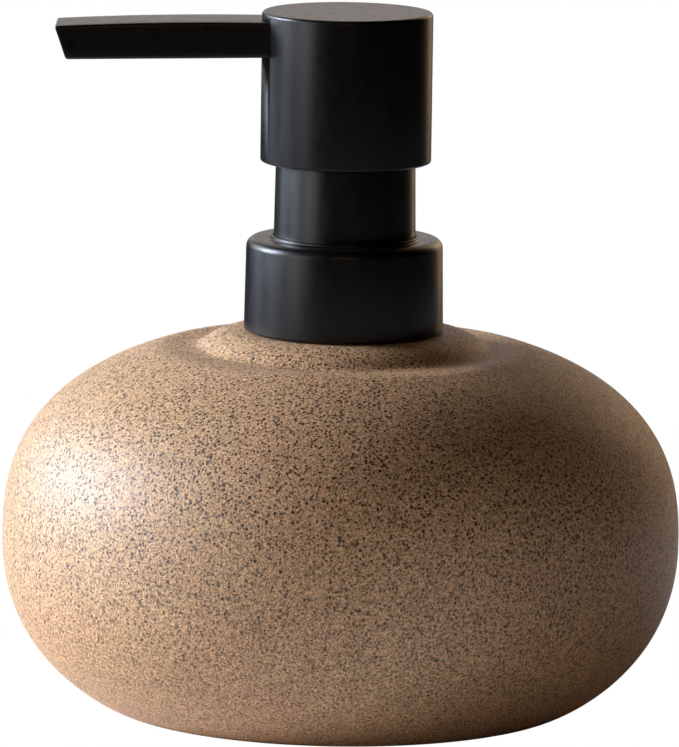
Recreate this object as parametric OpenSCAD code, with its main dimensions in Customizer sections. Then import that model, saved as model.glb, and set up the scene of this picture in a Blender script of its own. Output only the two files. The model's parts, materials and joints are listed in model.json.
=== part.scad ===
// Soap pump dispenser: a low round stoneware bottle with a screw-on lotion pump.
// Millimetres, +Z up. The origin is the middle of the flat base, on the pump's axis.
// The spout points along -X.

/* [Bottle] */
// Widest diameter of the stoneware bottle
bottle_d = 120.4; // [112:0.2:130]
// Height of the widest point above the base
belly_z = 29.1; // [27:0.1:31]
// Height of the dome above the widest point
dome_h = 37.9; // [37:0.1:38.6]
// Fullness of the dome, where 2 is an ellipse
dome_fullness = 2.55; // [2.45:0.01:2.7]
// Diameter of the flat base
base_d = 82; // [76:1:88]
// How far the base runs out level before it turns up, as a share of the overhang
heel_pull = 0.03; // [0.01:0.01:0.2]
// How far the side runs straight down before it turns in, as a share of the belly height
belly_pull = 0.74; // [0.6:0.01:0.85]
// Thickness of the stoneware wall
wall = 5; // [4.5:0.1:5.5]
// Diameter of the raised ring around the mouth, at its foot
ring_d = 51.6; // [50:0.2:53]
// Height of the raised ring, from its foot to the land around the mouth
ring_h = 2.9; // [2.4:0.1:3.2]

/* [Collar] */
// Diameter of the collar at its lower edge
collar_d = 35.3; // [35:0.1:36.5]
// Height of the collar
collar_h = 16.3; // [16.2:0.1:17]
// Diameter of the sleeve between the collar and the head
sleeve_d = 25.1; // [24.6:0.1:25.2]

/* [Head] */
// Diameter of the head
head_d = 30.2; // [29.8:0.1:32]
// Height of the head
head_h = 26.6; // [26.2:0.1:27.5]
// Height of the sleeve that shows below the head
sleeve_show = 13.6; // [13.5:0.1:16]
// Travel of the pump
stroke = 12.5; // [10:0.1:12.5]

/* [Spout] */
// Reach of the spout from the pump's axis to its tip
spout_reach = 51.4; // [44:0.2:60]
// Width of the spout
spout_w = 13; // [11:0.5:14]
// Thickness of the spout where it is fullest
spout_t = 6.4; // [6:0.1:6.6]
// How far the spout droops towards its tip, in degrees
spout_droop = 1.2; // [0.5:0.1:2]
// Slant of the spout's end face, in degrees
spout_slant = 18; // [8:1:20]

/* [Hidden] */
$fn = 96;
// Overlap that makes a cut pass clean through a face
cut = 0.5;

// Bottle
bottle_r = bottle_d / 2;
base_r = base_d / 2;
ring_r = ring_d / 2;
ring_fullness = 3;
hollow_r = 34;
profile_steps = 18;
land_z = 66.7;
land_r = 17.2;
ring_foot_z = land_z - ring_h;
mouth_r = 13;

// Neck insert, with the one-turn thread that the closure screws onto
bond = 0.4;
insert_r = mouth_r - bond;
insert_depth = 9;
insert_flange_r = 15.4;
insert_flange_t = 1.2;
spigot_r = 12.5;
spigot_h = 10;
bore_r = 10.7;
rim_z = land_z + spigot_h;
pitch = 4.233;
thread_h = 1.2;
thread_foot = 2;
thread_tip = 1;
thread_z = land_z + 3.6;
thread_turn = 400;
ridge_step = 10;

// Closure and collar
cap_bore_r = spigot_r + thread_h + 0.4;
cap_r = 15.9;
cap_z = land_z + insert_flange_t + 0.4;
cap_hole_r = 8.7;
cap_top_t = 1.4;
gasket_t = 1;
flange_t = 1.2;
flange_z = rim_z + gasket_t;
cap_top_z = flange_z + flange_t;
collar_z = land_z + 0.3;
collar_top_z = collar_z + collar_h;
collar_r = collar_d / 2;
collar_taper = 0.25;
collar_round = 1.6;
collar_inner_r = 16.2;
collar_top_t = 1.5;
lip_w = 0.6;
lip_h = 0.5;

// Sleeve
sleeve_r = sleeve_d / 2;
sleeve_taper = 0.25;
sleeve_inner_r = 11.3;
sleeve_flange_r = 14.5;
sleeve_z = cap_top_z + cap_top_t;
head_z = collar_top_z + sleeve_show;
sleeve_top_z = head_z + 3.1;

// Pump cylinder
cylinder_r = 5;
cylinder_wall = 1;
ledge_z = 42.3;
housing_z = 28.3;
housing_neck_r = 8.4;
housing_neck_top = cap_top_z + 3.8;
seat_z = 35.1;
chamber_r = 2.6;
inlet_hole_r = 1.4;
inlet_ball_r = 2;
seat_gap = 0.05;
rib_z = 40.7;

// Moving rod, seal and stem
fit = 0.05;
stem_r = 3.6;
stem_bore_r = 2;
seal_z = 69.6;
seal_h = 4.2;
stem_z = seal_z + seal_h + 0.1;
shoulder_t = 1.2;
shoulder_z = seal_z - 0.1 - shoulder_t;
rod_r = 2.6;
rod_z = shoulder_z - 12;
rod_plug_h = 8;
outlet_ball_r = 1.7;
outlet_hole_r = 1.2;

// Chaplet, the guide that snaps onto the cylinder
guide_z = 74.6;
chaplet_top_z = housing_neck_top + 1.6;
chaplet_r = 10;
wiper_r = 5.2;
wiper_t = 1.2;

// Spring
spring_r = 4.2;
wire_r = 0.4;
spring_turns = 9;
spring_z = ledge_z + wire_r + 0.05;
spring_top = shoulder_z - wire_r - 0.05;
closed_turns = 1;

// Dip tube
dip_r = 3;
dip_bore_r = 2;
dip_z = 8;
dip_top = 34.3;

// Head
head_r = head_d / 2;
head_top = head_z + head_h;
head_wall = 1.2;
head_top_t = 1.4;
head_round = 0.6;
head_foot_round = 0.4;
core_z = sleeve_top_z + stroke + 0.6;
core_plate_t = 2;
core_r = head_r - head_wall - 0.1;
boss_r = 5.6;
boss_z = core_z - 11;
turret_r = 6.8;
core_top = head_top - head_top_t - 0.15;
stem_top = core_z - 1.2;
outlet_seat_z = stem_top - 1.1;
valve_chamber_top = stem_top + 3.6;

// Spout
spout_top = head_top - 1;
spout_mid = spout_top - spout_t / 2;
spout_root = turret_r - 1;
spout_corner = 0.55;
crown_r = 580;
crown_x = 28.5;
crown_half_angle = 4;
crown_fn = 1440;
tube_r = 2;
tube_bore_r = 1.3;
tube_recess = 1.2;

// Radius and height of the outer dome's curve, t from 0 at the belly to 90 at the top
function dome_point(t, r, h) =
    [r * pow(cos(t), 2 / dome_fullness), belly_z + h * pow(sin(t), 2 / dome_fullness)];

// Height of the dome at a radius
function dome_z(x, r, h) = belly_z + h * pow(1 - pow(x / r, dome_fullness), 1 / dome_fullness);

// Cubic curve from the edge of the flat foot up to the belly
function heel_point(u, foot, r, z0) =
    let (
        p0 = [foot, z0],
        p1 = [foot + heel_pull * (r - foot), z0],
        p2 = [r, belly_z - belly_pull * (belly_z - z0)],
        p3 = [r, belly_z]
    )
    pow(1 - u, 3) * p0 + 3 * pow(1 - u, 2) * u * p1 + 3 * (1 - u) * u * u * p2 + u * u * u * p3;

function soft_step(x) = x * x * (3 - 2 * x);

// Height of the raised ring at a radius
function ring_z(x) =
    ring_foot_z + ring_h * (1 - pow((x - land_r) / (ring_r - land_r), ring_fullness));

// Height of the soft hollow that runs around the ring's foot
function hollow_z(x) =
    let (drop = dome_z(ring_r, bottle_r, dome_h) - ring_foot_z)
    dome_z(x, bottle_r, dome_h)
        - drop * (1 - soft_step((x - ring_r) / (hollow_r - ring_r)));

function heel_curve(foot, r, z0) =
    [for (i = [0 : profile_steps]) heel_point(i / profile_steps, foot, r, z0)];

// Points of an arc around a centre
function arc(cx, cz, r, a0, a1, steps = 6) =
    [for (i = [0 : steps])
        let (a = a0 + (a1 - a0) * i / steps)
        [cx + r * cos(a), cz + r * sin(a)]];

// A tube or ring of constant section around the axis
module ring(outer, inner, z0, z1) {
    difference() {
        translate([0, 0, z0])
            cylinder(r = outer, h = z1 - z0);
        translate([0, 0, z0 - cut])
            cylinder(r = inner, h = z1 - z0 + 2 * cut);
    }
}

// A single helical ridge of trapezoid section, running right-handed up from z0
module thread_ridge(foot_r, tip_r, z0, a0, a1) {
    steps = round((a1 - a0) / ridge_step);
    ends = 3;
    function height(i) = min(1, min(i, steps - i) / ends);
    function ridge_ring(i) =
        let (
            a = a0 + (a1 - a0) * i / steps,
            z = z0 + pitch * a / 360,
            tip = foot_r + (tip_r - foot_r) * max(0.35, height(i))
        )
        [for (p = [[foot_r, -thread_foot / 2], [tip, -thread_tip / 2],
                   [tip, thread_tip / 2], [foot_r, thread_foot / 2]])
            [p[0] * cos(a), p[0] * sin(a), z + p[1]]];
    points = [for (i = [0 : steps]) each ridge_ring(i)];
    flip = tip_r > foot_r;
    sides = [for (i = [0 : steps - 1]) for (k = [0 : 3])
        let (
            n = (k + 1) % 4,
            quad = [4 * i + k, 4 * i + n, 4 * i + 4 + n, 4 * i + 4 + k]
        )
        flip ? quad : [quad[3], quad[2], quad[1], quad[0]]];
    last = 4 * steps;
    caps = flip
        ? [[3, 2, 1, 0], [last, last + 1, last + 2, last + 3]]
        : [[0, 1, 2, 3], [last + 3, last + 2, last + 1, last]];
    polyhedron(points = points, faces = concat(sides, caps), convexity = 6);
}

// Stoneware bottle: flat base, full belly, raised ring and a ground land around the mouth
module bottle() {
    outer_dome = [for (i = [1 : 90])
        let (p = dome_point(i, bottle_r, dome_h))
        if (p[0] > hollow_r && i % 4 == 0) p];
    ring_steps = 10;
    soft_hollow = [for (i = [0 : ring_steps])
        let (x = hollow_r + (ring_r - hollow_r) * i / ring_steps)
        [x, hollow_z(x)]];
    raised_ring = [for (i = [1 : ring_steps])
        let (x = ring_r + (land_r - ring_r) * i / ring_steps)
        [x, ring_z(x)]];
    inner_r = bottle_r - wall;
    inner_h = dome_h - wall;
    inner_dome = [for (i = [1 : 90])
        let (p = dome_point(i, inner_r, inner_h))
        if (p[0] > mouth_r + cut && i % 4 == 0) p];
    outline = concat(
        [[0, 0]],
        heel_curve(base_r, bottle_r, 0),
        outer_dome,
        soft_hollow,
        raised_ring,
        [[0, land_z]]
    );
    hollow = concat(
        [[0, wall]],
        heel_curve(base_r - wall, inner_r, wall),
        inner_dome,
        [[mouth_r, dome_z(mouth_r, inner_r, inner_h)], [0, dome_z(mouth_r, inner_r, inner_h)]]
    );
    color("tan")
    difference() {
        rotate_extrude()
            polygon(outline);
        rotate_extrude()
            polygon(hollow);
        translate([0, 0, belly_z])
            cylinder(r = mouth_r, h = dome_h + wall);
    }
}

// Bed of sealant that holds the insert in the mouth
module bond_ring() {
    color("gainsboro")
        ring(mouth_r, insert_r, land_z - insert_depth + 3, land_z);
}

// Threaded insert bonded into the mouth
module neck_insert() {
    color("whitesmoke")
    difference() {
        union() {
            translate([0, 0, land_z - insert_depth])
                cylinder(r = insert_r, h = insert_depth + insert_flange_t / 2);
            translate([0, 0, land_z])
                cylinder(r = insert_flange_r, h = insert_flange_t);
            translate([0, 0, land_z])
                cylinder(r = spigot_r, h = spigot_h);
            thread_ridge(spigot_r - 0.4, spigot_r + thread_h, thread_z, 0, thread_turn);
        }
        translate([0, 0, land_z - insert_depth - cut])
            cylinder(r = bore_r, h = insert_depth + spigot_h + 2 * cut);
    }
}

// Soft washer that seals the pump against the rim
module gasket() {
    color("dimgray")
        ring(spigot_r, cylinder_r + cylinder_wall + 0.25, rim_z, flange_z);
}

// Pump cylinder with its rim flange, ball seat and dip tube socket
module housing() {
    outer_r = cylinder_r + cylinder_wall;
    socket_r = dip_r + 1.2;
    color("white")
    difference() {
        union() {
            translate([0, 0, ledge_z - 1.5])
                cylinder(r = outer_r, h = cap_top_z - ledge_z + 1.5);
            translate([0, 0, ledge_z - 4])
                cylinder(r1 = socket_r, r2 = outer_r, h = 2.5);
            translate([0, 0, housing_z])
                cylinder(r = socket_r, h = ledge_z - housing_z - 4);
            translate([0, 0, flange_z])
                cylinder(r = spigot_r + 0.4, h = flange_t);
            translate([0, 0, flange_z])
                cylinder(r = housing_neck_r, h = housing_neck_top - flange_z);
        }
        translate([0, 0, ledge_z])
            cylinder(r = cylinder_r, h = housing_neck_top - ledge_z + cut);
        translate([0, 0, cap_top_z])
            cylinder(r = housing_neck_r - 1.1, h = housing_neck_top - cap_top_z + cut);
        translate([0, 0, seat_z + chamber_r - inlet_hole_r])
            cylinder(r = chamber_r, h = ledge_z);
        translate([0, 0, seat_z])
            cylinder(r1 = inlet_hole_r, r2 = chamber_r, h = chamber_r - inlet_hole_r);
        translate([0, 0, housing_z])
            cylinder(r = inlet_hole_r, h = seat_z - housing_z + cut);
        translate([0, 0, housing_z - cut])
            cylinder(r = dip_r, h = dip_top - housing_z + cut);
        translate([0, 0, guide_z - 2.2])
            rotate([0, 90, 0])
                cylinder(r = 0.5, h = 2 * outer_r);
    }
    // three ribs above the ball keep it in its chamber and leave the liquid a way past
    color("white")
    for (a = [30 : 120 : 270])
        rotate([0, 0, a])
            translate([1.1, -0.35, rib_z])
                cube([chamber_r - 0.9, 0.7, ledge_z - rib_z]);
}

// Guide that snaps over the cylinder's neck and keeps the closure on the pump
module chaplet() {
    flange_bottom = sleeve_z + 0.3;
    color("white")
    difference() {
        union() {
            translate([0, 0, flange_bottom])
                cylinder(r = chaplet_r, h = chaplet_top_z - flange_bottom);
            translate([0, 0, flange_bottom])
                cylinder(r = sleeve_inner_r - 0.3, h = 1.1);
        }
        translate([0, 0, flange_bottom - cut])
            cylinder(r = housing_neck_r, h = housing_neck_top - flange_bottom + cut);
        translate([0, 0, guide_z])
            cylinder(r = stem_r + fit, h = chaplet_top_z - guide_z + cut);
        translate([0, 0, chaplet_top_z - wiper_t])
            cylinder(r = wiper_r, h = wiper_t + cut);
    }
    color("white")
        ring(cylinder_r - 0.2, stem_r + fit, guide_z, housing_neck_top + 0.3);
}

// Soft ring that wipes the stem and keeps water out of the pump
module stem_wiper() {
    color("dimgray")
    rotate_extrude()
        polygon([
            [stem_r + fit, chaplet_top_z - 0.2],
            [stem_r + fit, chaplet_top_z - 0.6],
            [stem_r + 0.5, chaplet_top_z - wiper_t],
            [wiper_r, chaplet_top_z - wiper_t],
            [wiper_r, chaplet_top_z]
        ]);
}

// Lower valve ball
module inlet_ball() {
    centre = seat_z - inlet_hole_r + inlet_ball_r * sqrt(2) + seat_gap;
    color("silver")
        translate([0, 0, centre])
            sphere(r = inlet_ball_r);
}

// Return spring with closed ends
module return_spring() {
    turn_steps = 16;
    sides = 8;
    steps = spring_turns * turn_steps;
    open_turns = spring_turns - 2 * closed_turns;
    closed_rise = closed_turns * (2 * wire_r + 0.05);
    open_rise = spring_top - spring_z - 2 * closed_rise;
    function rise(t) =
        t < closed_turns ? closed_rise * t / closed_turns
        : t > spring_turns - closed_turns
            ? closed_rise + open_rise
              + closed_rise * (t - spring_turns + closed_turns) / closed_turns
        : closed_rise + open_rise * (t - closed_turns) / open_turns;
    points = [for (i = [0 : steps]) for (k = [0 : sides - 1])
        let (
            t = i / turn_steps,
            a = 360 * t,
            b = 360 * k / sides,
            r = spring_r + wire_r * cos(b)
        )
        [r * cos(a), r * sin(a), spring_z + rise(t) + wire_r * sin(b)]];
    walls = [for (i = [0 : steps - 1]) for (k = [0 : sides - 1])
        let (n = (k + 1) % sides)
        [sides * i + k, sides * i + n, sides * (i + 1) + n, sides * (i + 1) + k]];
    ends = [
        [for (k = [sides - 1 : -1 : 0]) k],
        [for (k = [0 : sides - 1]) sides * steps + k]
    ];
    color("silver")
        polyhedron(points = points, faces = concat(walls, ends), convexity = 8);
}

// Dip tube with a slanted lower end
module dip_tube() {
    color("white")
    difference() {
        ring(dip_r, dip_bore_r, dip_z, dip_top);
        translate([0, 0, dip_z])
            rotate([0, 35, 0])
                translate([-4 * dip_r, -2 * dip_r, -4 * dip_r])
                    cube([8 * dip_r, 4 * dip_r, 4 * dip_r]);
    }
}

// Inner closure with the thread that grips the insert
module screw_cap() {
    color("black")
    difference() {
        translate([0, 0, cap_z])
            cylinder(r = cap_r, h = sleeve_z - cap_z);
        translate([0, 0, cap_z - cut])
            cylinder(r = cap_bore_r, h = cap_top_z - cap_z + cut);
        translate([0, 0, cap_top_z - cut])
            cylinder(r = cap_hole_r, h = cap_top_t + 2 * cut);
    }
    color("black")
        thread_ridge(cap_bore_r + 0.4, spigot_r + 0.4, thread_z - pitch / 2, 120, 480);
}

// Outer collar shell with a rounded top edge and a low lip around the sleeve
module collar_shell() {
    top_r = collar_r - collar_taper;
    hole_r = sleeve_r + 0.1;
    outline = concat(
        [[collar_inner_r, collar_z], [collar_r - 0.3, collar_z], [collar_r, collar_z + 0.3]],
        arc(top_r - collar_round, collar_top_z - collar_round, collar_round, 4, 90, 8),
        [
            [hole_r + lip_w, collar_top_z],
            [hole_r + lip_w - 0.1, collar_top_z + lip_h],
            [hole_r, collar_top_z + lip_h],
            [hole_r, collar_top_z - collar_top_t],
            [collar_inner_r, collar_top_z - collar_top_t]
        ]
    );
    color("black")
    rotate_extrude()
        polygon(outline);
}

// Sleeve that the head slides down over, held by its flange under the collar's top
module neck_sleeve() {
    top_r = sleeve_r - sleeve_taper;
    outline = [
        [sleeve_inner_r, sleeve_z],
        [sleeve_flange_r, sleeve_z],
        [sleeve_flange_r, collar_top_z - collar_top_t],
        [sleeve_r, collar_top_z - collar_top_t],
        [sleeve_r, collar_top_z + 1],
        [top_r, sleeve_top_z - 0.3],
        [top_r - 0.3, sleeve_top_z],
        [sleeve_inner_r, sleeve_top_z]
    ];
    color("black")
    rotate_extrude()
        polygon(outline);
}

// Sliding seal with a lip at each end that wipes the cylinder
module piston_seal() {
    top = seal_z + seal_h;
    lip_r = cylinder_r - fit;
    outline = [
        [rod_r + fit, seal_z],
        [rod_r + 0.7, seal_z],
        [rod_r + 1.3, seal_z + 1],
        [lip_r - 0.35, seal_z],
        [lip_r, seal_z],
        [lip_r, seal_z + 0.6],
        [lip_r - 0.4, seal_z + 1.2],
        [lip_r - 0.4, top - 1.2],
        [lip_r, top - 0.6],
        [lip_r, top],
        [lip_r - 0.35, top],
        [rod_r + 1.3, top - 1],
        [rod_r + 1.0, top],
        [rod_r + fit, top]
    ];
    color("ivory")
    rotate_extrude()
        polygon(outline);
}

// Rod that carries the seal, guides the spring and lets the liquid into the stem
module piston_rod() {
    color("white")
    difference() {
        union() {
            translate([0, 0, rod_z])
                cylinder(r = rod_r, h = stem_z - rod_z);
            translate([0, 0, rod_z - 1])
                cylinder(r1 = rod_r - 0.8, r2 = rod_r, h = 1);
            translate([0, 0, shoulder_z])
                cylinder(r = spring_r + 0.2, h = shoulder_t);
            translate([0, 0, stem_z])
                cylinder(r = stem_bore_r, h = rod_plug_h);
        }
        translate([0, 0, seal_z + 1])
            cylinder(r = 1.1, h = stem_z + rod_plug_h - seal_z);
        translate([0, 0, seal_z + 1.6])
            rotate([90, 0, 0])
                cylinder(r = 0.7, h = 4 * rod_r, center = true);
    }
}

// Hollow stem, with the upper valve's seat in its top end
module stem() {
    color("white")
    difference() {
        translate([0, 0, stem_z])
            cylinder(r = stem_r, h = stem_top - stem_z);
        translate([0, 0, stem_z - cut])
            cylinder(r = stem_bore_r, h = outlet_seat_z - stem_z - 1);
        translate([0, 0, outlet_seat_z - 2])
            cylinder(r = outlet_hole_r, h = 2 + cut);
        translate([0, 0, outlet_seat_z])
            cylinder(r1 = outlet_hole_r, r2 = outlet_hole_r + 1.1, h = stem_top - outlet_seat_z);
    }
}

// Upper valve ball
module outlet_ball() {
    centre = outlet_seat_z - outlet_hole_r + outlet_ball_r * sqrt(2) + seat_gap;
    color("silver")
        translate([0, 0, centre])
            sphere(r = outlet_ball_r);
}

// Inner part of the head: stem socket, upper valve chamber and the turn towards the spout
module head_core() {
    color("dimgray")
    difference() {
        union() {
            translate([0, 0, core_z])
                cylinder(r = core_r, h = core_plate_t);
            translate([0, 0, boss_z])
                cylinder(r = boss_r, h = core_z - boss_z + cut);
            translate([0, 0, core_z])
                cylinder(r = turret_r, h = core_top - core_z);
        }
        translate([0, 0, boss_z - cut])
            cylinder(r = stem_r, h = stem_top - boss_z + cut);
        translate([0, 0, stem_top - cut])
            cylinder(r = outlet_ball_r + 0.9, h = valve_chamber_top - stem_top + cut);
        translate([0, 0, valve_chamber_top - cut])
            cylinder(r = outlet_hole_r, h = spout_mid - valve_chamber_top + cut);
        spout_axis()
            translate([-spout_root - 2 * cut, 0, 0])
                rotate([0, 90, 0])
                    cylinder(r = tube_r, h = spout_root + 2 * cut);
        spout_axis()
            bar(spout_reach, spout_root, 0.1);
    }
}

// Turns its children down by the droop of the spout, about the middle of its root
module spout_axis() {
    translate([0, 0, spout_mid])
        rotate([0, -spout_droop, 0])
            children();
}

// Bar with rounded edges along -X, between two distances from the axis. Its underside is
// straight and its top is slightly arched
module bar(far, near, grow) {
    half_w = spout_w / 2 + grow;
    half_t = spout_t / 2 + grow;
    top_r = crown_r + grow;
    side = half_w - spout_corner;
    lower_section = concat(
        [[-spout_t, half_w]],
        arc(half_t - spout_corner, side, spout_corner, 90, 0),
        arc(half_t - spout_corner, -side, spout_corner, 0, -90),
        [[-spout_t, -half_w]]
    );
    upper_section = concat(
        [[crown_r - 2 * spout_t, -half_w]],
        arc(top_r - spout_corner, -side, spout_corner, -90, 0),
        arc(top_r - spout_corner, side, spout_corner, 0, 90),
        [[crown_r - 2 * spout_t, half_w]]
    );
    intersection() {
        translate([-far, 0, 0])
            rotate([0, 90, 0])
                linear_extrude(height = far - near)
                    polygon(lower_section);
        translate([-crown_x, 0, spout_t / 2 - crown_r])
            rotate([90, 0, 0])
                rotate([0, 0, 90 - crown_half_angle])
                    rotate_extrude(angle = 2 * crown_half_angle, $fn = crown_fn)
                        polygon(upper_section);
    }
}

// Tube that carries the liquid through the spout
module nozzle_tube() {
    length = spout_reach - tube_recess - 4;
    color("dimgray")
    spout_axis()
    difference() {
        translate([-length, 0, 0])
            rotate([0, 90, 0])
                cylinder(r = tube_r, h = length - 2.4);
        translate([-length - cut, 0, 0])
            rotate([0, 90, 0])
                cylinder(r = tube_bore_r, h = length);
    }
}

// Flat spout bar with a slanted end, let into the head
module spout() {
    // height of the arched top at the tip, over the bar's middle
    tip_z = spout_t / 2 - crown_r + sqrt(pow(crown_r, 2) - pow(spout_reach - crown_x, 2));
    color("black")
    difference() {
        spout_axis()
            bar(spout_reach + 3, spout_root, 0);
        // the slanted end face
        spout_axis()
            translate([-spout_reach, 0, tip_z])
                rotate([0, -spout_slant, 0])
                    translate([-4 * spout_t, -spout_w, -4 * spout_t])
                        cube([4 * spout_t, 2 * spout_w, 8 * spout_t]);
        spout_axis()
            translate([-spout_reach - 2 * cut, 0, 0])
                rotate([0, 90, 0])
                    cylinder(r = tube_r, h = spout_reach);
    }
}

// Outer shell of the head, with the window that the spout comes out of
module head_shell() {
    inner_r = head_r - head_wall;
    window_depth = sqrt(pow(inner_r, 2) - pow(spout_w / 2, 2)) - 0.4;
    outline = concat(
        [[0, head_top]],
        arc(head_r - head_round, head_top - head_round, head_round, 90, 0),
        arc(head_r - head_foot_round, head_z + head_foot_round, head_foot_round, 0, -90),
        [
            [inner_r + 0.2, head_z],
            [inner_r, head_z + 0.2],
            [inner_r, head_top - head_top_t],
            [0, head_top - head_top_t]
        ]
    );
    color("black")
    difference() {
        rotate_extrude()
            polygon(outline);
        spout_axis()
            bar(spout_reach, window_depth, 0.02);
    }
}

bottle();
bond_ring();
neck_insert();
gasket();
housing();
chaplet();
stem_wiper();
inlet_ball();
return_spring();
dip_tube();
screw_cap();
collar_shell();
neck_sleeve();
piston_seal();
piston_rod();
stem();
outlet_ball();
head_core();
nozzle_tube();
spout();
head_shell();
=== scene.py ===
import json
import math

import bpy
import bmesh
from mathutils import Matrix, Vector, noise


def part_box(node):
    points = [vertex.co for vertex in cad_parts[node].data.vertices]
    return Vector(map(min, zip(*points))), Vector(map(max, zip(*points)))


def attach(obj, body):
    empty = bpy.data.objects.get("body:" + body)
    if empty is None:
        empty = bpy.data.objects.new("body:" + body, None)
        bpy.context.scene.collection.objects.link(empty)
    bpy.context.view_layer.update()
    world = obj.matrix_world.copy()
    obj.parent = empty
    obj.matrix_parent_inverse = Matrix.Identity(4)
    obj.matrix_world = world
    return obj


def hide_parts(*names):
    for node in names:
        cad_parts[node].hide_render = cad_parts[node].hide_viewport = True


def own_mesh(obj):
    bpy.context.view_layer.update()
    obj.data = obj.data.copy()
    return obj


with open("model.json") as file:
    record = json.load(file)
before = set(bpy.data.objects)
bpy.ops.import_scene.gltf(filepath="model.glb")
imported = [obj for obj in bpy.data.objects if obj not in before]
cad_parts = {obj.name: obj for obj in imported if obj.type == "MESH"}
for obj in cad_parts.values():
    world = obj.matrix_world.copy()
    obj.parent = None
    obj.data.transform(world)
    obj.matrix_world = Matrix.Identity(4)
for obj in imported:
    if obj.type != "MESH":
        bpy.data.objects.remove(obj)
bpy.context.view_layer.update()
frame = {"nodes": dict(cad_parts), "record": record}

MM = 0.001

# ---------------------------------------------------------------------------
# Sizes read from the frame, in metres
# ---------------------------------------------------------------------------


def low(node):
    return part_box(node)[0]


def high(node):
    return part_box(node)[1]


BOTTLE_R = high("bottle")[0]
MOUTH_R = high("bond_ring")[0]
LAND_Z = high("bond_ring")[2]
LIP_H = 0.5 * MM
COLLAR_Z = low("collar_shell")[2]
COLLAR_R = high("collar_shell")[0]
COLLAR_TOP = high("collar_shell")[2] - LIP_H
COLLAR_ROOF = COLLAR_TOP - 1.5 * MM
SLEEVE_Z = low("neck_sleeve")[2]
SLEEVE_TOP = high("neck_sleeve")[2]
SLEEVE_R = 12.55 * MM
SLEEVE_FLANGE_R = high("neck_sleeve")[0]
SLEEVE_INNER_R = 11.3 * MM
HEAD_Z = low("head_shell")[2]
HEAD_TOP = high("head_shell")[2]
HEAD_R = high("head_shell")[0]
HEAD_INNER_R = HEAD_R - 1.2 * MM
HEAD_ROOF = HEAD_TOP - 1.4 * MM


# ---------------------------------------------------------------------------
# Mesh helpers
# ---------------------------------------------------------------------------

POLE_R = 1e-7
ROUND_SEGMENTS = 256


def arc(cx, cz, r, a0, a1, steps):
    """Points of an arc in the outline's plane, angles in degrees."""
    points = []
    for i in range(steps + 1):
        a = math.radians(a0 + (a1 - a0) * i / steps)
        points.append((cx + r * math.cos(a), cz + r * math.sin(a)))
    return points


def add_object(name, bm, smooth_angle=35):
    """Turns a bmesh into a linked object, smooth apart from its sharp edges."""
    bmesh.ops.recalc_face_normals(bm, faces=bm.faces)
    limit = math.radians(smooth_angle)
    for face in bm.faces:
        face.smooth = True
    for edge in bm.edges:
        if len(edge.link_faces) == 2 and edge.calc_face_angle(0) > limit:
            edge.smooth = False
    mesh = bpy.data.meshes.new(name)
    bm.to_mesh(mesh)
    bm.free()
    obj = bpy.data.objects.new(name, mesh)
    bpy.context.scene.collection.objects.link(obj)
    return obj


def bridge(bm, first, second):
    """Quads between two rings of the same length."""
    count = len(first)
    for k in range(count):
        n = (k + 1) % count
        bm.faces.new((first[k], first[n], second[n], second[k]))


def lathe(name, outline, segments, shift=None):
    """A closed outline of (radius, height) points, revolved. A radius under POLE_R makes a pole."""
    bm = bmesh.new()
    rings = []
    for r, z in outline:
        if r < POLE_R:
            rings.append([bm.verts.new((0, 0, z))])
            continue
        ring = []
        for k in range(segments):
            a = 2 * math.pi * k / segments
            grow = shift(r, z, a) if shift else 0
            ring.append(bm.verts.new(((r + grow) * math.cos(a), (r + grow) * math.sin(a), z)))
        rings.append(ring)
    for first, second in zip(rings, rings[1:] + rings[:1]):
        if len(first) == 1 and len(second) == 1:
            continue
        if len(first) == 1 or len(second) == 1:
            pole, ring = (first[0], second) if len(first) == 1 else (second[0], first)
            for k in range(segments):
                bm.faces.new((pole, ring[k], ring[(k + 1) % segments]))
        else:
            bridge(bm, first, second)
    return add_object(name, bm)


# ---------------------------------------------------------------------------
# Material helpers. All patterns run on object coordinates, scaled to millimetres
# ---------------------------------------------------------------------------


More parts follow.
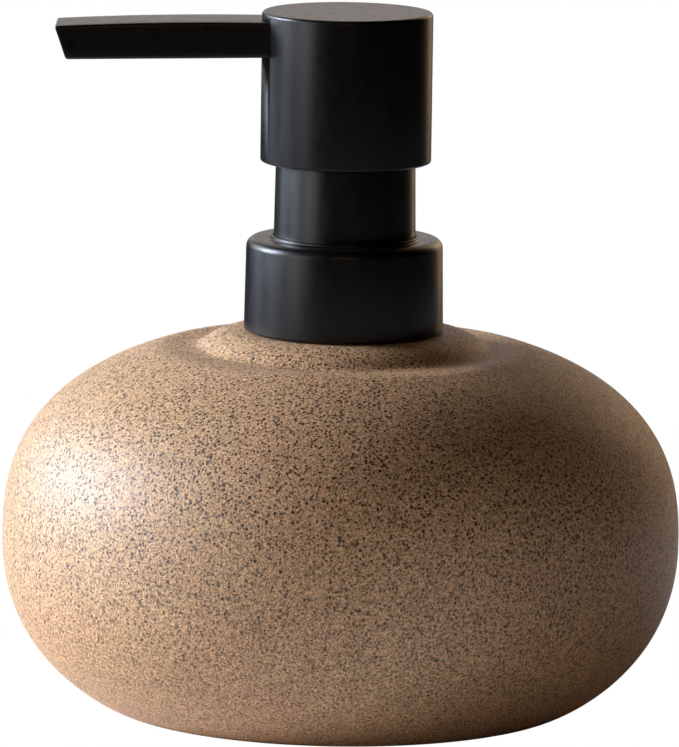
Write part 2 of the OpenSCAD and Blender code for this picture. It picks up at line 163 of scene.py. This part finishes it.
class Nodes:
    """Short calls for building one material's node tree."""

    def __init__(self, name):
        self.material = bpy.data.materials.new(name)
        self.material.use_nodes = True
        self.tree = self.material.node_tree
        self.tree.nodes.clear()
        self.output = self.tree.nodes.new("ShaderNodeOutputMaterial")
        self.shader = self.tree.nodes.new("ShaderNodeBsdfPrincipled")
        self.link(self.shader.outputs[0], self.output.inputs[0])
        coordinates = self.tree.nodes.new("ShaderNodeTexCoord")
        self.mm = self.vector_math("SCALE", coordinates.outputs["Object"], scale=1 / MM)

    def link(self, source, target):
        self.tree.links.new(source, target)

    def put(self, socket, value):
        if isinstance(value, bpy.types.NodeSocket):
            self.link(value, socket)
        else:
            socket.default_value = value

    def vector_math(self, operation, a, b=None, scale=None):
        node = self.tree.nodes.new("ShaderNodeVectorMath")
        node.operation = operation
        self.put(node.inputs[0], a)
        if b is not None:
            self.put(node.inputs[1], b)
        if scale is not None:
            self.put(node.inputs["Scale"], scale)
        return node.outputs[0]

    def math(self, operation, a, b, clamp=False):
        node = self.tree.nodes.new("ShaderNodeMath")
        node.operation = operation
        node.use_clamp = clamp
        self.put(node.inputs[0], a)
        self.put(node.inputs[1], b)
        return node.outputs[0]

    def noise(self, per_mm, detail=3.0, rough=0.5, vector=None, colour=False):
        node = self.tree.nodes.new("ShaderNodeTexNoise")
        self.put(node.inputs["Vector"], vector or self.mm)
        node.inputs["Scale"].default_value = per_mm
        node.inputs["Detail"].default_value = detail
        node.inputs["Roughness"].default_value = rough
        return node.outputs["Color" if colour else "Fac"]

    def cells(self, per_mm, vector):
        node = self.tree.nodes.new("ShaderNodeTexVoronoi")
        self.put(node.inputs["Vector"], vector)
        node.inputs["Scale"].default_value = per_mm
        return node.outputs["Distance"], node.outputs["Color"]

    def height(self):
        node = self.tree.nodes.new("ShaderNodeSeparateXYZ")
        self.put(node.inputs[0], self.mm)
        return node.outputs[2]

    def remap(self, value, from_min, from_max, to_min=0.0, to_max=1.0):
        node = self.tree.nodes.new("ShaderNodeMapRange")
        self.put(node.inputs["Value"], value)
        self.put(node.inputs["From Min"], from_min)
        self.put(node.inputs["From Max"], from_max)
        self.put(node.inputs["To Min"], to_min)
        self.put(node.inputs["To Max"], to_max)
        return node.outputs[0]

    def mix(self, factor, a, b, blend="MIX"):
        node = self.tree.nodes.new("ShaderNodeMix")
        node.data_type = "RGBA"
        node.blend_type = blend
        self.put(node.inputs["Factor"], factor)
        self.put(node.inputs[6], a)
        self.put(node.inputs[7], b)
        return node.outputs[2]

    def grey_of(self, value):
        node = self.tree.nodes.new("ShaderNodeCombineColor")
        for socket in node.inputs[:3]:
            self.put(socket, value)
        return node.outputs[0]

    def separate(self, colour):
        node = self.tree.nodes.new("ShaderNodeSeparateColor")
        self.put(node.inputs[0], colour)
        return node.outputs

    def bump(self, height, distance, strength):
        node = self.tree.nodes.new("ShaderNodeBump")
        self.put(node.inputs["Height"], height)
        node.inputs["Distance"].default_value = distance
        node.inputs["Strength"].default_value = strength
        return node.outputs[0]

    def set(self, **values):
        for key, value in values.items():
            self.put(self.shader.inputs[key.replace("_", " ")], value)
        return self.material


def grey(value):
    return (value, value, value, 1.0)


def rgb(r, g, b):
    return (r, g, b, 1.0)


# ---------------------------------------------------------------------------
# Materials
# ---------------------------------------------------------------------------


def specks(n, per_mm, least, most, share, wobble):
    """Mask of irregular specks. A `share` of the cells hold one each, of a random radius."""
    offset = n.vector_math("SUBTRACT", n.noise(4.0, 2.0, colour=True), (0.5, 0.5, 0.5))
    shifted = n.vector_math("ADD", n.mm, n.vector_math("SCALE", offset, scale=wobble))
    distance, colour = n.cells(per_mm, shifted)
    random = n.separate(colour)
    radius = n.remap(random[0], 0.0, 1.0, least, most)
    present = n.math("GREATER_THAN", random[1], 1.0 - share)
    edge = n.math("SUBTRACT", 1.0, n.math("DIVIDE", distance, radius))
    soft_edge = 0.25
    return n.math("MULTIPLY", n.remap(edge, 0.0, soft_edge), present, clamp=True)


def stoneware():
    """Sandy, slightly mottled clay full of fine dark specks, under a thin satin surface."""
    n = Nodes("stoneware")
    tan = rgb(0.640, 0.384, 0.198)
    pink = rgb(0.637, 0.364, 0.194)
    olive = rgb(0.620, 0.384, 0.192)
    rust = rgb(0.130, 0.050, 0.018)
    umber = rgb(0.042, 0.015, 0.005)
    soot = rgb(0.018, 0.008, 0.004)
    cream = rgb(0.80, 0.64, 0.48)

    cloud = n.remap(n.noise(0.045, 3.0, 0.55), 0.36, 0.64)
    drift = n.remap(n.noise(0.12, 3.0, 0.6), 0.38, 0.62)
    body = n.mix(cloud, pink, olive)
    body = n.mix(n.math("MULTIPLY", drift, 0.6), body, tan)
    patch = n.remap(n.noise(0.25, 3.0, 0.6), 0.3, 0.7, 0.95, 1.05)
    grain = n.remap(n.noise(2.8, 2.0, 0.6), 0.34, 0.66, 0.40, 1.58)
    shade = n.math("MULTIPLY", patch, grain)
    body = n.mix(1.0, body, n.grey_of(shade), "MULTIPLY")

    # The specks crowd in soft clouds, and thin out towards the foot
    higher = n.remap(n.height(), 6.0, 46.0, 0.55, 1.0)
    clouds = n.remap(n.noise(0.16, 2.0), 0.3, 0.7, 0.80, 1.0)
    crowding = n.math("MULTIPLY", clouds, higher)
    dust = specks(n, per_mm=2.6, least=0.28, most=0.52, share=0.72, wobble=0.10)
    fine = specks(n, per_mm=1.40, least=0.24, most=0.48, share=0.96, wobble=0.18)
    bold = specks(n, per_mm=0.90, least=0.18, most=0.31, share=0.52, wobble=0.22)
    pale = specks(n, per_mm=1.1, least=0.12, most=0.24, share=0.30, wobble=0.12)
    dust_shown = n.math("MULTIPLY", n.math("MULTIPLY", dust, crowding), 0.74)
    fine_shown = n.math("MULTIPLY", n.math("MULTIPLY", fine, crowding), 0.97)
    body = n.mix(dust_shown, body, rust)
    body = n.mix(fine_shown, body, umber)
    body = n.mix(n.math("MULTIPLY", bold, higher), body, soot)
    body = n.mix(n.math("MULTIPLY", pale, 0.75), body, cream)

    pits = n.math("MULTIPLY", n.math("ADD", fine, bold), -0.6)
    tooth = n.noise(2.8, 3.0, 0.6)
    normal = n.bump(n.math("ADD", tooth, pits), 0.05 * MM, 0.7)
    rough = n.remap(n.noise(0.8, 2.0), 0.3, 0.7, 0.49, 0.58)
    return n.set(Base_Color=body, Roughness=rough, Normal=normal, Specular_IOR_Level=0.68)


def black_plastic():
    """Satin moulded black with a fine grain, and the odd light scuff or dust speck."""
    n = Nodes("black_plastic")
    tint = n.remap(n.noise(0.35, 3.0), 0.3, 0.7)
    colour = n.mix(tint, rgb(0.0012, 0.0012, 0.0015), rgb(0.0020, 0.0018, 0.0018))
    dust = specks(n, per_mm=0.16, least=0.010, most=0.026, share=0.40, wobble=0.30)
    colour = n.mix(dust, colour, rgb(0.20, 0.20, 0.21))
    streaks = n.vector_math("MULTIPLY", n.mm, (0.55, 0.55, 0.22))
    worn = n.remap(n.noise(1.1, 4.0, 0.65, streaks), 0.3, 0.7, -0.035, 0.045)
    grain = n.remap(n.noise(4.5, 3.0, 0.6), 0.3, 0.7, -0.03, 0.03)
    rough = n.math("ADD", n.math("ADD", worn, grain), 0.315)
    normal = n.bump(n.noise(4.2, 3.0, 0.6), 0.008 * MM, 0.85)
    return n.set(Base_Color=colour, Roughness=rough, Normal=normal, Specular_IOR_Level=0.43)


def moulded_nodes(name, light, dark, roughness, grain_mm=0.004):
    """Plain moulded plastic or rubber: slight cloudiness, fine grain and uneven gloss."""
    n = Nodes(name)
    colour = n.mix(n.remap(n.noise(0.3, 3.0), 0.3, 0.7), light, dark)
    rough = n.remap(n.noise(1.8, 3.0), 0.3, 0.7, roughness - 0.05, roughness + 0.07)
    grain = n.bump(n.noise(6.0, 2.0), grain_mm * MM, 0.7)
    n.set(Base_Color=colour, Roughness=rough, Normal=grain)
    return n


def moulded(*values):
    return moulded_nodes(*values).material


def natural_plastic():
    n = moulded_nodes("natural_plastic", rgb(0.80, 0.80, 0.77), rgb(0.72, 0.72, 0.70), 0.36)
    return n.set(Subsurface_Weight=0.25, Subsurface_Scale=2 * MM)


def metal(name, light, dark, roughness, per_mm):
    n = Nodes(name)
    colour = n.mix(n.remap(n.noise(per_mm, 3.0), 0.3, 0.7), light, dark)
    rough = n.remap(n.noise(2 * per_mm, 3.0), 0.3, 0.7, roughness - 0.05, roughness + 0.06)
    scratch = n.bump(n.noise(4 * per_mm, 2.0), 0.002 * MM, 0.6)
    return n.set(Base_Color=colour, Roughness=rough, Normal=scratch, Metallic=1.0)


def floor_paint():
    """Pale and even: white to the camera, and a soft reflector to everything else."""
    n = Nodes("floor_paint")
    colour = n.mix(n.noise(0.02, 3.0), grey(0.78), grey(0.82))
    n.set(Base_Color=colour, Roughness=0.8, Specular_IOR_Level=0.1)
    path = n.tree.nodes.new("ShaderNodeLightPath")
    white = n.tree.nodes.new("ShaderNodeEmission")
    mix = n.tree.nodes.new("ShaderNodeMixShader")
    n.link(path.outputs["Is Camera Ray"], mix.inputs[0])
    n.link(n.shader.outputs[0], mix.inputs[1])
    n.link(white.outputs[0], mix.inputs[2])
    n.link(mix.outputs[0], n.output.inputs[0])
    return n.material


MATERIALS = {
    "stoneware": stoneware(),
    "black_plastic": black_plastic(),
    "natural_plastic": natural_plastic(),
    "seal_plastic": moulded("seal_plastic", rgb(0.74, 0.71, 0.60), rgb(0.66, 0.62, 0.52), 0.42),
    "soft_rubber": moulded("soft_rubber", grey(0.030), grey(0.045), 0.62, 0.010),
    "sealant": moulded("sealant", rgb(0.62, 0.60, 0.55), rgb(0.52, 0.50, 0.46), 0.55, 0.02),
    "spring_steel": metal("spring_steel", rgb(0.60, 0.60, 0.61), rgb(0.46, 0.46, 0.47), 0.30, 1.5),
    "ball_steel": metal("ball_steel", rgb(0.76, 0.76, 0.77), rgb(0.68, 0.68, 0.70), 0.14, 0.8),
}


def finish_piece(piece, slot, body):
    piece.data.materials.clear()
    piece.data.materials.append(MATERIALS[slot])
    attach(piece, body)


# ---------------------------------------------------------------------------
# Pieces
# ---------------------------------------------------------------------------

BELLY_Z = 29.1 * MM
DOME_H = 37.9 * MM
DOME_FULLNESS = 2.55
BASE_R = 41 * MM
HEEL_PULL = 0.03
BELLY_PULL = 0.74
WALL = 5 * MM
HOLLOW_R = 34 * MM
RING_R = 25.8 * MM
RING_H = 2.9 * MM
RING_FULLNESS = 3
RING_FOOT_SOFT = 0.7 * MM
LAND_R = 17.2 * MM
MOUTH_EASE = 0.3 * MM
BOTTLE_SEGMENTS = 300


def dome_z(r, radius, height):
    """Height of a full, slightly squared dome over the belly, at a radius."""
    share = max(0.0, 1 - (r / radius) ** DOME_FULLNESS)
    return BELLY_Z + height * share ** (1 / DOME_FULLNESS)


def dome_curve(radius, height, end_r, steps):
    """The same dome from the belly up to a radius."""
    points = []
    for i in range(1, steps + 1):
        t = math.radians(90 * i / steps)
        r = radius * math.cos(t) ** (2 / DOME_FULLNESS)
        if r <= end_r:
            break
        points.append((r, BELLY_Z + height * math.sin(t) ** (2 / DOME_FULLNESS)))
    return points


def heel_curve(foot, radius, z0, steps):
    """One smooth curve from the foot out to the belly."""
    p1 = foot + HEEL_PULL * (radius - foot)
    p2 = BELLY_Z - BELLY_PULL * (BELLY_Z - z0)
    points = []
    for i in range(steps + 1):
        u = i / steps
        v = 1 - u
        r = v ** 3 * foot + 3 * v * v * u * p1 + 3 * v * u * u * radius + u ** 3 * radius
        z = v ** 3 * z0 + 3 * v * v * u * z0 + 3 * v * u * u * p2 + u ** 3 * BELLY_Z
        points.append((r, z))
    return points


def soft_step(x):
    x = min(1.0, max(0.0, x))
    return x * x * (3 - 2 * x)


def shoulder_z(r):
    """Height of the shoulder: the dome with a soft hollow round the ring, and the ring itself."""
    foot_z = LAND_Z - RING_H
    if r < RING_R:
        return foot_z + RING_H * (1 - ((r - LAND_R) / (RING_R - LAND_R)) ** RING_FULLNESS)
    drop = dome_z(RING_R, BOTTLE_R, DOME_H) - foot_z
    return dome_z(r, BOTTLE_R, DOME_H) - drop * (1 - soft_step((r - RING_R) / (HOLLOW_R - RING_R)))


def shoulder_curve(steps):
    """The shoulder from the hollow's edge to the land, its concave corner eased."""
    points = []
    for i in range(steps + 1):
        r = HOLLOW_R + (LAND_R - HOLLOW_R) * i / steps
        z = shoulder_z(r)
        near = abs(r - RING_R)
        if near < RING_FOOT_SOFT:
            z += 0.25 * (RING_FOOT_SOFT - near) ** 2 / RING_FOOT_SOFT
        points.append((r, z))
    return points


def hand_thrown(r, z, a):
    """Slight unevenness of a hand-made wall, always inwards. Nothing at the foot or the mouth."""
    foot_fade = 4 * MM
    mouth_fade = 6 * MM
    broad_size = 26 * MM
    close_size = 8 * MM
    fade = soft_step(z / foot_fade) * soft_step((r - LAND_R) / mouth_fade)
    where = Vector((r * math.cos(a), r * math.sin(a), z))
    broad = noise.noise(where / broad_size)
    close = noise.noise(where / close_size)
    return -MM * fade * (0.10 * (1 + broad) + 0.02 * (1 + close))


def make_bottle():
    outer = [(0, 0), (BASE_R * 0.5, 0), (BASE_R * 0.9, 0)]
    outer += heel_curve(BASE_R, BOTTLE_R, 0, 52)
    outer += dome_curve(BOTTLE_R, DOME_H, HOLLOW_R, 112)
    outer += shoulder_curve(84)
    outer += [(MOUTH_R + MOUTH_EASE, LAND_Z), (MOUTH_R, LAND_Z - MOUTH_EASE)]
    inner_r = BOTTLE_R - WALL
    inner_h = DOME_H - WALL
    inner = heel_curve(BASE_R - WALL, inner_r, WALL, 20)
    inner += dome_curve(inner_r, inner_h, MOUTH_R + 0.5 * MM, 40)
    inner += [(MOUTH_R, dome_z(MOUTH_R, inner_r, inner_h))]
    outside_points = {(round(r, 9), round(z, 9)) for r, z in outer}

    def shift(r, z, a):
        return hand_thrown(r, z, a) if (round(r, 9), round(z, 9)) in outside_points else 0.0

    bottle = lathe("stoneware_bottle", outer + inner[::-1] + [(0, WALL)], BOTTLE_SEGMENTS, shift)
    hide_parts("bottle")
    finish_piece(bottle, "stoneware", "bottle_body")


def make_collar():
    taper = 0.25 * MM
    round_r = 1.6 * MM
    foot_round = 0.35 * MM
    edge = 0.15 * MM
    top_r = COLLAR_R - taper
    inner_r = 16.2 * MM
    inner_ease = 0.4 * MM
    hole_r = SLEEVE_R + 0.1 * MM
    hole_ease = 0.12 * MM
    lip_r = hole_r + 0.6 * MM
    lip_top = COLLAR_TOP + LIP_H
    lip_round = 0.2 * MM
    lip_fillet = 0.25 * MM
    outline = [(inner_r, COLLAR_Z + edge), (inner_r + edge, COLLAR_Z)]
    outline += arc(COLLAR_R - foot_round, COLLAR_Z + foot_round, foot_round, -90, 0, 6)
    outline += arc(top_r - round_r, COLLAR_TOP - round_r, round_r, 2, 90, 16)
    outline += [(lip_r + 0.35 * MM, COLLAR_TOP)]
    outline += arc(lip_r + lip_fillet, COLLAR_TOP + lip_fillet, lip_fillet, -90, -180, 4)
    outline += arc(lip_r - lip_round, lip_top - lip_round, lip_round, 0, 90, 5)
    outline += [(hole_r + hole_ease, lip_top), (hole_r, lip_top - hole_ease), (hole_r, COLLAR_ROOF)]
    outline += [(inner_r - inner_ease, COLLAR_ROOF), (inner_r, COLLAR_ROOF - inner_ease)]
    collar = lathe("collar", outline, ROUND_SEGMENTS)
    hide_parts("collar_shell")
    finish_piece(collar, "black_plastic", "collar")


def make_sleeve():
    top_r = SLEEVE_R - 0.25 * MM
    top_round = 0.35 * MM
    ease = 0.2 * MM
    outline = [(SLEEVE_INNER_R, SLEEVE_Z), (SLEEVE_FLANGE_R - ease, SLEEVE_Z)]
    outline += [(SLEEVE_FLANGE_R, SLEEVE_Z + ease), (SLEEVE_FLANGE_R, COLLAR_ROOF - ease)]
    outline += [(SLEEVE_FLANGE_R - ease, COLLAR_ROOF)]
    outline += [(SLEEVE_R, COLLAR_ROOF), (SLEEVE_R, COLLAR_TOP + 1 * MM)]
    outline += arc(top_r - top_round, SLEEVE_TOP - top_round, top_round, 0, 90, 6)
    outline += [(SLEEVE_INNER_R + ease, SLEEVE_TOP), (SLEEVE_INNER_R, SLEEVE_TOP - ease)]
    sleeve = lathe("sleeve", outline, ROUND_SEGMENTS)
    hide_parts("neck_sleeve")
    finish_piece(sleeve, "black_plastic", "collar")


SPOUT_W = 13 * MM
SPOUT_T = 6.4 * MM
SPOUT_DROOP = math.radians(1.2)
SPOUT_SLANT = math.radians(18)
SPOUT_REACH = 51.4 * MM
SPOUT_MID_Z = HEAD_TOP - 1 * MM - SPOUT_T / 2
SPOUT_ROOT = 5.8 * MM
SPOUT_CORNER = 0.55 * MM
CROWN_R = 580 * MM
CROWN_X = 28.5 * MM
TUBE_R = 2 * MM
CORNER_STEPS = 6
SIDE_STEPS = 4
LENGTH_STEPS = 32
END_STEPS = 6


def spout_matrix():
    return Matrix.Translation((0, 0, SPOUT_MID_Z)) @ Matrix.Rotation(-SPOUT_DROOP, 4, "Y")


def spout_crown(reach):
    """Height of the spout's arched top over its middle, at a distance from the pump's axis."""
    return SPOUT_T / 2 - (reach - CROWN_X) ** 2 / (2 * CROWN_R)


def spout_section(inset, reach, corner=SPOUT_CORNER):
    """Rounded rectangle across the spout, as (y, z) points. Every section has the same count."""
    half_w = SPOUT_W / 2 - inset
    top = spout_crown(reach) - inset
    bottom = -SPOUT_T / 2 + inset
    c = max(corner - inset, 0.05 * MM)
    corners = [(half_w - c, top - c, 0), (-half_w + c, top - c, 90),
               (-half_w + c, bottom + c, 180), (half_w - c, bottom + c, 270)]
    points = []
    for i, (y, z, start) in enumerate(corners):
        points += arc(y, z, c, start, start + 90, CORNER_STEPS)
        next_y, next_z, next_start = corners[(i + 1) % 4]
        y0, z0 = points[-1]
        y1, z1 = arc(next_y, next_z, c, next_start, next_start, 1)[0]
        for k in range(1, SIDE_STEPS):
            t = k / SIDE_STEPS
            points.append((y0 + (y1 - y0) * t, z0 + (z1 - z0) * t))
    return points


def make_spout():
    """A bar with eased edges and a slightly arched top, a slanted end and a round bore."""
    ease = 0.4 * MM
    bore_ease = 0.15 * MM
    bm = bmesh.new()
    place = spout_matrix()
    tilt = math.tan(SPOUT_SLANT)
    tip_top = spout_crown(SPOUT_REACH)

    def end_x(z):
        return -SPOUT_REACH + (tip_top - z) * tilt

    def loop(points, x_of):
        return [bm.verts.new(place @ Vector((x_of(z), y, z))) for y, z in points]

    loops = []
    for i in range(LENGTH_STEPS + 1):
        t = i / LENGTH_STEPS
        reach = SPOUT_ROOT + (SPOUT_REACH - SPOUT_ROOT) * t
        loops.append(loop(spout_section(0, reach),
                          lambda z, t=t: -SPOUT_ROOT + (end_x(z) + ease + SPOUT_ROOT) * t))
    for i in range(1, END_STEPS + 1):
        a = math.radians(90 * i / END_STEPS)
        back = ease * (1 - math.sin(a))
        loops.append(loop(spout_section(ease * (1 - math.cos(a)), SPOUT_REACH),
                          lambda z, back=back: end_x(z) + back))

    def bore(radius, x_of):
        ring = []
        for y, z in spout_section(0, SPOUT_REACH):
            a = math.atan2(z, y)
            ring.append((radius * math.cos(a), radius * math.sin(a)))
        return loop(ring, x_of)

    loops.append(bore(TUBE_R + bore_ease, end_x))
    loops.append(bore(TUBE_R, lambda z: end_x(z) + bore_ease))
    loops.append(bore(TUBE_R, lambda z: end_x(z) + 2 * MM))
    loops.append(bore(TUBE_R, lambda z: -SPOUT_ROOT))
    for first, second in zip(loops, loops[1:] + loops[:1]):
        bridge(bm, first, second)
    spout = add_object("spout_bar", bm, 30)
    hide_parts("spout")
    finish_piece(spout, "black_plastic", "head")


def window_cutter(gap, near):
    """Mesh of the spout's outline, grown by a gap, that cuts its window in the head."""
    bm = bmesh.new()
    place = spout_matrix()
    rings = []
    for reach in (near, (near + HEAD_R) / 2, HEAD_R + 2 * MM):
        rings.append([bm.verts.new(place @ Vector((-reach, y, z)))
                      for y, z in spout_section(-gap, reach, SPOUT_CORNER + gap)])
    bridge(bm, rings[0], rings[1])
    bridge(bm, rings[1], rings[2])
    bm.faces.new(rings[0])
    bm.faces.new(rings[2])
    return add_object("window", bm)


def cut_away(obj, cutter):
    """Subtracts the cutter's mesh from the object, drops tiny edges and removes the cutter."""
    modifier = obj.modifiers.new("cut", "BOOLEAN")
    modifier.operation = "DIFFERENCE"
    modifier.solver = "EXACT"
    modifier.object = cutter
    graph = bpy.context.evaluated_depsgraph_get()
    mesh = bpy.data.meshes.new_from_object(obj.evaluated_get(graph))
    old = obj.data
    clean = bmesh.new()
    clean.from_mesh(mesh)
    bmesh.ops.dissolve_degenerate(clean, dist=0.002 * MM, edges=clean.edges)
    clean.to_mesh(mesh)
    clean.free()
    obj.modifiers.clear()
    obj.data = mesh
    bpy.data.meshes.remove(old)
    bpy.data.objects.remove(cutter)


def make_head():
    top_round = 0.6 * MM
    foot_round = 0.45 * MM
    ease = 0.2 * MM
    roof_ease = 0.3 * MM
    outline = [(0, HEAD_TOP), (HEAD_R * 0.5, HEAD_TOP), (HEAD_R - 1.2 * MM, HEAD_TOP)]
    outline += arc(HEAD_R - top_round, HEAD_TOP - top_round, top_round, 90, 0, 10)
    outline += arc(HEAD_R - foot_round, HEAD_Z + foot_round, foot_round, 0, -90, 8)
    outline += [(HEAD_INNER_R + ease, HEAD_Z), (HEAD_INNER_R, HEAD_Z + ease)]
    outline += [(HEAD_INNER_R, HEAD_ROOF - roof_ease), (HEAD_INNER_R - roof_ease, HEAD_ROOF)]
    outline += [(0, HEAD_ROOF)]
    head = lathe("head", outline, ROUND_SEGMENTS)
    depth = math.sqrt(HEAD_INNER_R ** 2 - (SPOUT_W / 2) ** 2) - 0.4 * MM
    cut_away(head, window_cutter(0.04 * MM, depth))
    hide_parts("head_shell")
    finish_piece(head, "black_plastic", "head")


SPRING_TURNS = 9
CLOSED_TURNS = 1
TURN_STEPS = 48
WIRE_SIDES = 16
WIRE_R = 0.4 * MM


def make_spring():
    """The return spring, with closed ends."""
    bottom = low("return_spring")[2]
    top = high("return_spring")[2]
    coil_r = high("return_spring")[0] - WIRE_R
    closed_rise = CLOSED_TURNS * (2 * WIRE_R + 0.05 * MM)
    open_rise = top - bottom - 2 * WIRE_R - 2 * closed_rise
    open_turns = SPRING_TURNS - 2 * CLOSED_TURNS
    wire = arc(0, 0, WIRE_R, 0, 360 - 360 / WIRE_SIDES, WIRE_SIDES - 1)
    bm = bmesh.new()
    rings = []
    for i in range(SPRING_TURNS * TURN_STEPS + 1):
        turn = i / TURN_STEPS
        first = min(turn, CLOSED_TURNS) / CLOSED_TURNS
        last = max(turn - SPRING_TURNS + CLOSED_TURNS, 0.0) / CLOSED_TURNS
        middle = min(max(turn - CLOSED_TURNS, 0.0), open_turns) / open_turns
        z = bottom + WIRE_R + closed_rise * (first + last) + open_rise * middle
        a = 2 * math.pi * turn
        rings.append([bm.verts.new(((coil_r + y) * math.cos(a), (coil_r + y) * math.sin(a), z + h))
                      for y, h in wire])
    for first, second in zip(rings, rings[1:]):
        bridge(bm, first, second)
    bm.faces.new(rings[0])
    bm.faces.new(rings[-1])
    spring = add_object("spring", bm)
    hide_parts("return_spring")
    finish_piece(spring, "spring_steel", "pump_core")
    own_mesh(spring)


make_bottle()
make_collar()
make_sleeve()
make_head()
make_spout()
make_spring()

# CAD nodes that stay take their slot's material
SLOT_OF = {part["node"]: part["material_slot"] for part in frame["record"]["subparts"]}
for node_name, node_object in frame["nodes"].items():
    node_object.data.materials.clear()
    node_object.data.materials.append(MATERIALS[SLOT_OF[node_name]])

# ---------------------------------------------------------------------------
# Stage, lights and camera
# ---------------------------------------------------------------------------


FLOOR_R = 320 * MM


def make_floor():
    bm = bmesh.new()
    bmesh.ops.create_circle(bm, cap_ends=True, segments=128, radius=FLOOR_R)
    floor = add_object("floor", bm)
    floor.data.materials.append(floor_paint())


# Soft lights round the object: elevation and bearing in degrees (0 is the camera's side, 90 the
# right), then strength and colour. A large cool window on the left, and weak warm light elsewhere.
SOFT_LIGHTS = [
    (20, 257, 4.85, (0.92, 1.00, 1.17)),
    (20, 231, 0.60, (0.92, 1.00, 1.05)),
    (4, 300, 0.50, (0.97, 0.99, 1.04)),
    (4, 270, 0.48, (0.92, 0.99, 1.12)),
    (4, 240, 0.33, (0.84, 0.98, 1.18)),
    (4, 150, 0.17, (1.32, 0.92, 0.60)),
    (8, 180, 0.14, (1.09, 0.97, 0.92)),
    (40, 195, 0.14, (1.20, 1.00, 0.80)),
    (20, 154, 0.22, (1.32, 0.92, 0.60)),
    (20, 200, 0.10, (1.00, 1.00, 1.00)),
    (20, 309, 0.10, (1.20, 1.10, 0.70)),
    (20, 0, 0.07, (1.50, 0.90, 0.55)),
]
SOFT_ANGLE = math.radians(28)


def soft_light(elevation, bearing, strength, colour):
    e = math.radians(elevation)
    b = math.radians(bearing)
    towards = Vector((math.cos(e) * math.sin(b), -math.cos(e) * math.cos(b), math.sin(e)))
    data = bpy.data.lights.new(f"soft_{elevation}_{bearing}", "SUN")
    data.angle = SOFT_ANGLE
    data.energy = strength
    data.color = colour
    lamp = bpy.data.objects.new(data.name, data)
    lamp.rotation_euler = (-towards).to_track_quat("-Z", "Y").to_euler()
    bpy.context.scene.collection.objects.link(lamp)


WORLD_GLOW = 0.004


def make_world():
    """White to the camera, and a trace of light to everything else."""
    world = bpy.data.worlds.new("studio")
    bpy.context.scene.world = world
    world.use_nodes = True
    tree = world.node_tree
    tree.nodes.clear()
    output = tree.nodes.new("ShaderNodeOutputWorld")
    mix = tree.nodes.new("ShaderNodeMixShader")
    path = tree.nodes.new("ShaderNodeLightPath")
    seen = tree.nodes.new("ShaderNodeBackground")
    light = tree.nodes.new("ShaderNodeBackground")
    seen.inputs["Color"].default_value = grey(1.0)
    light.inputs["Color"].default_value = grey(WORLD_GLOW)
    tree.links.new(path.outputs["Is Camera Ray"], mix.inputs[0])
    tree.links.new(light.outputs[0], mix.inputs[1])
    tree.links.new(seen.outputs[0], mix.inputs[2])
    tree.links.new(mix.outputs[0], output.inputs[0])


FRAME_H = 747
SENSOR = 36.0
PIXEL_SIZE = 0.1775 * MM
CAMERA_DISTANCE = 1.42
CAMERA_ELEVATION = math.radians(9.5)
CAMERA_ROLL = math.radians(0.8)
CAMERA_TARGET = Vector((-0.57 * MM, 0, 58.9 * MM))
ORBIT_CENTRE = Vector((0, 0, 53.3 * MM))


def make_camera():
    """A long lens from the front and a little above. PIXEL_SIZE is a pixel's size at the object."""
    back = math.cos(CAMERA_ELEVATION)
    up = math.sin(CAMERA_ELEVATION)
    place = ORBIT_CENTRE + CAMERA_DISTANCE * Vector((0, -back, up))
    data = bpy.data.cameras.new("camera")
    data.sensor_width = SENSOR
    data.lens = SENSOR * CAMERA_DISTANCE / (FRAME_H * PIXEL_SIZE)
    data.clip_start = 0.05
    data.clip_end = 20
    camera = bpy.data.objects.new("camera", data)
    aim = (CAMERA_TARGET - place).to_track_quat("-Z", "Y").to_matrix().to_4x4()
    camera.matrix_world = Matrix.Translation(place) @ aim @ Matrix.Rotation(CAMERA_ROLL, 4, "Z")
    bpy.context.scene.collection.objects.link(camera)
    bpy.context.scene.camera = camera


make_floor()
make_world()
for light in SOFT_LIGHTS:
    soft_light(*light)
make_camera()
bpy.context.scene.view_settings.view_transform = "Standard"
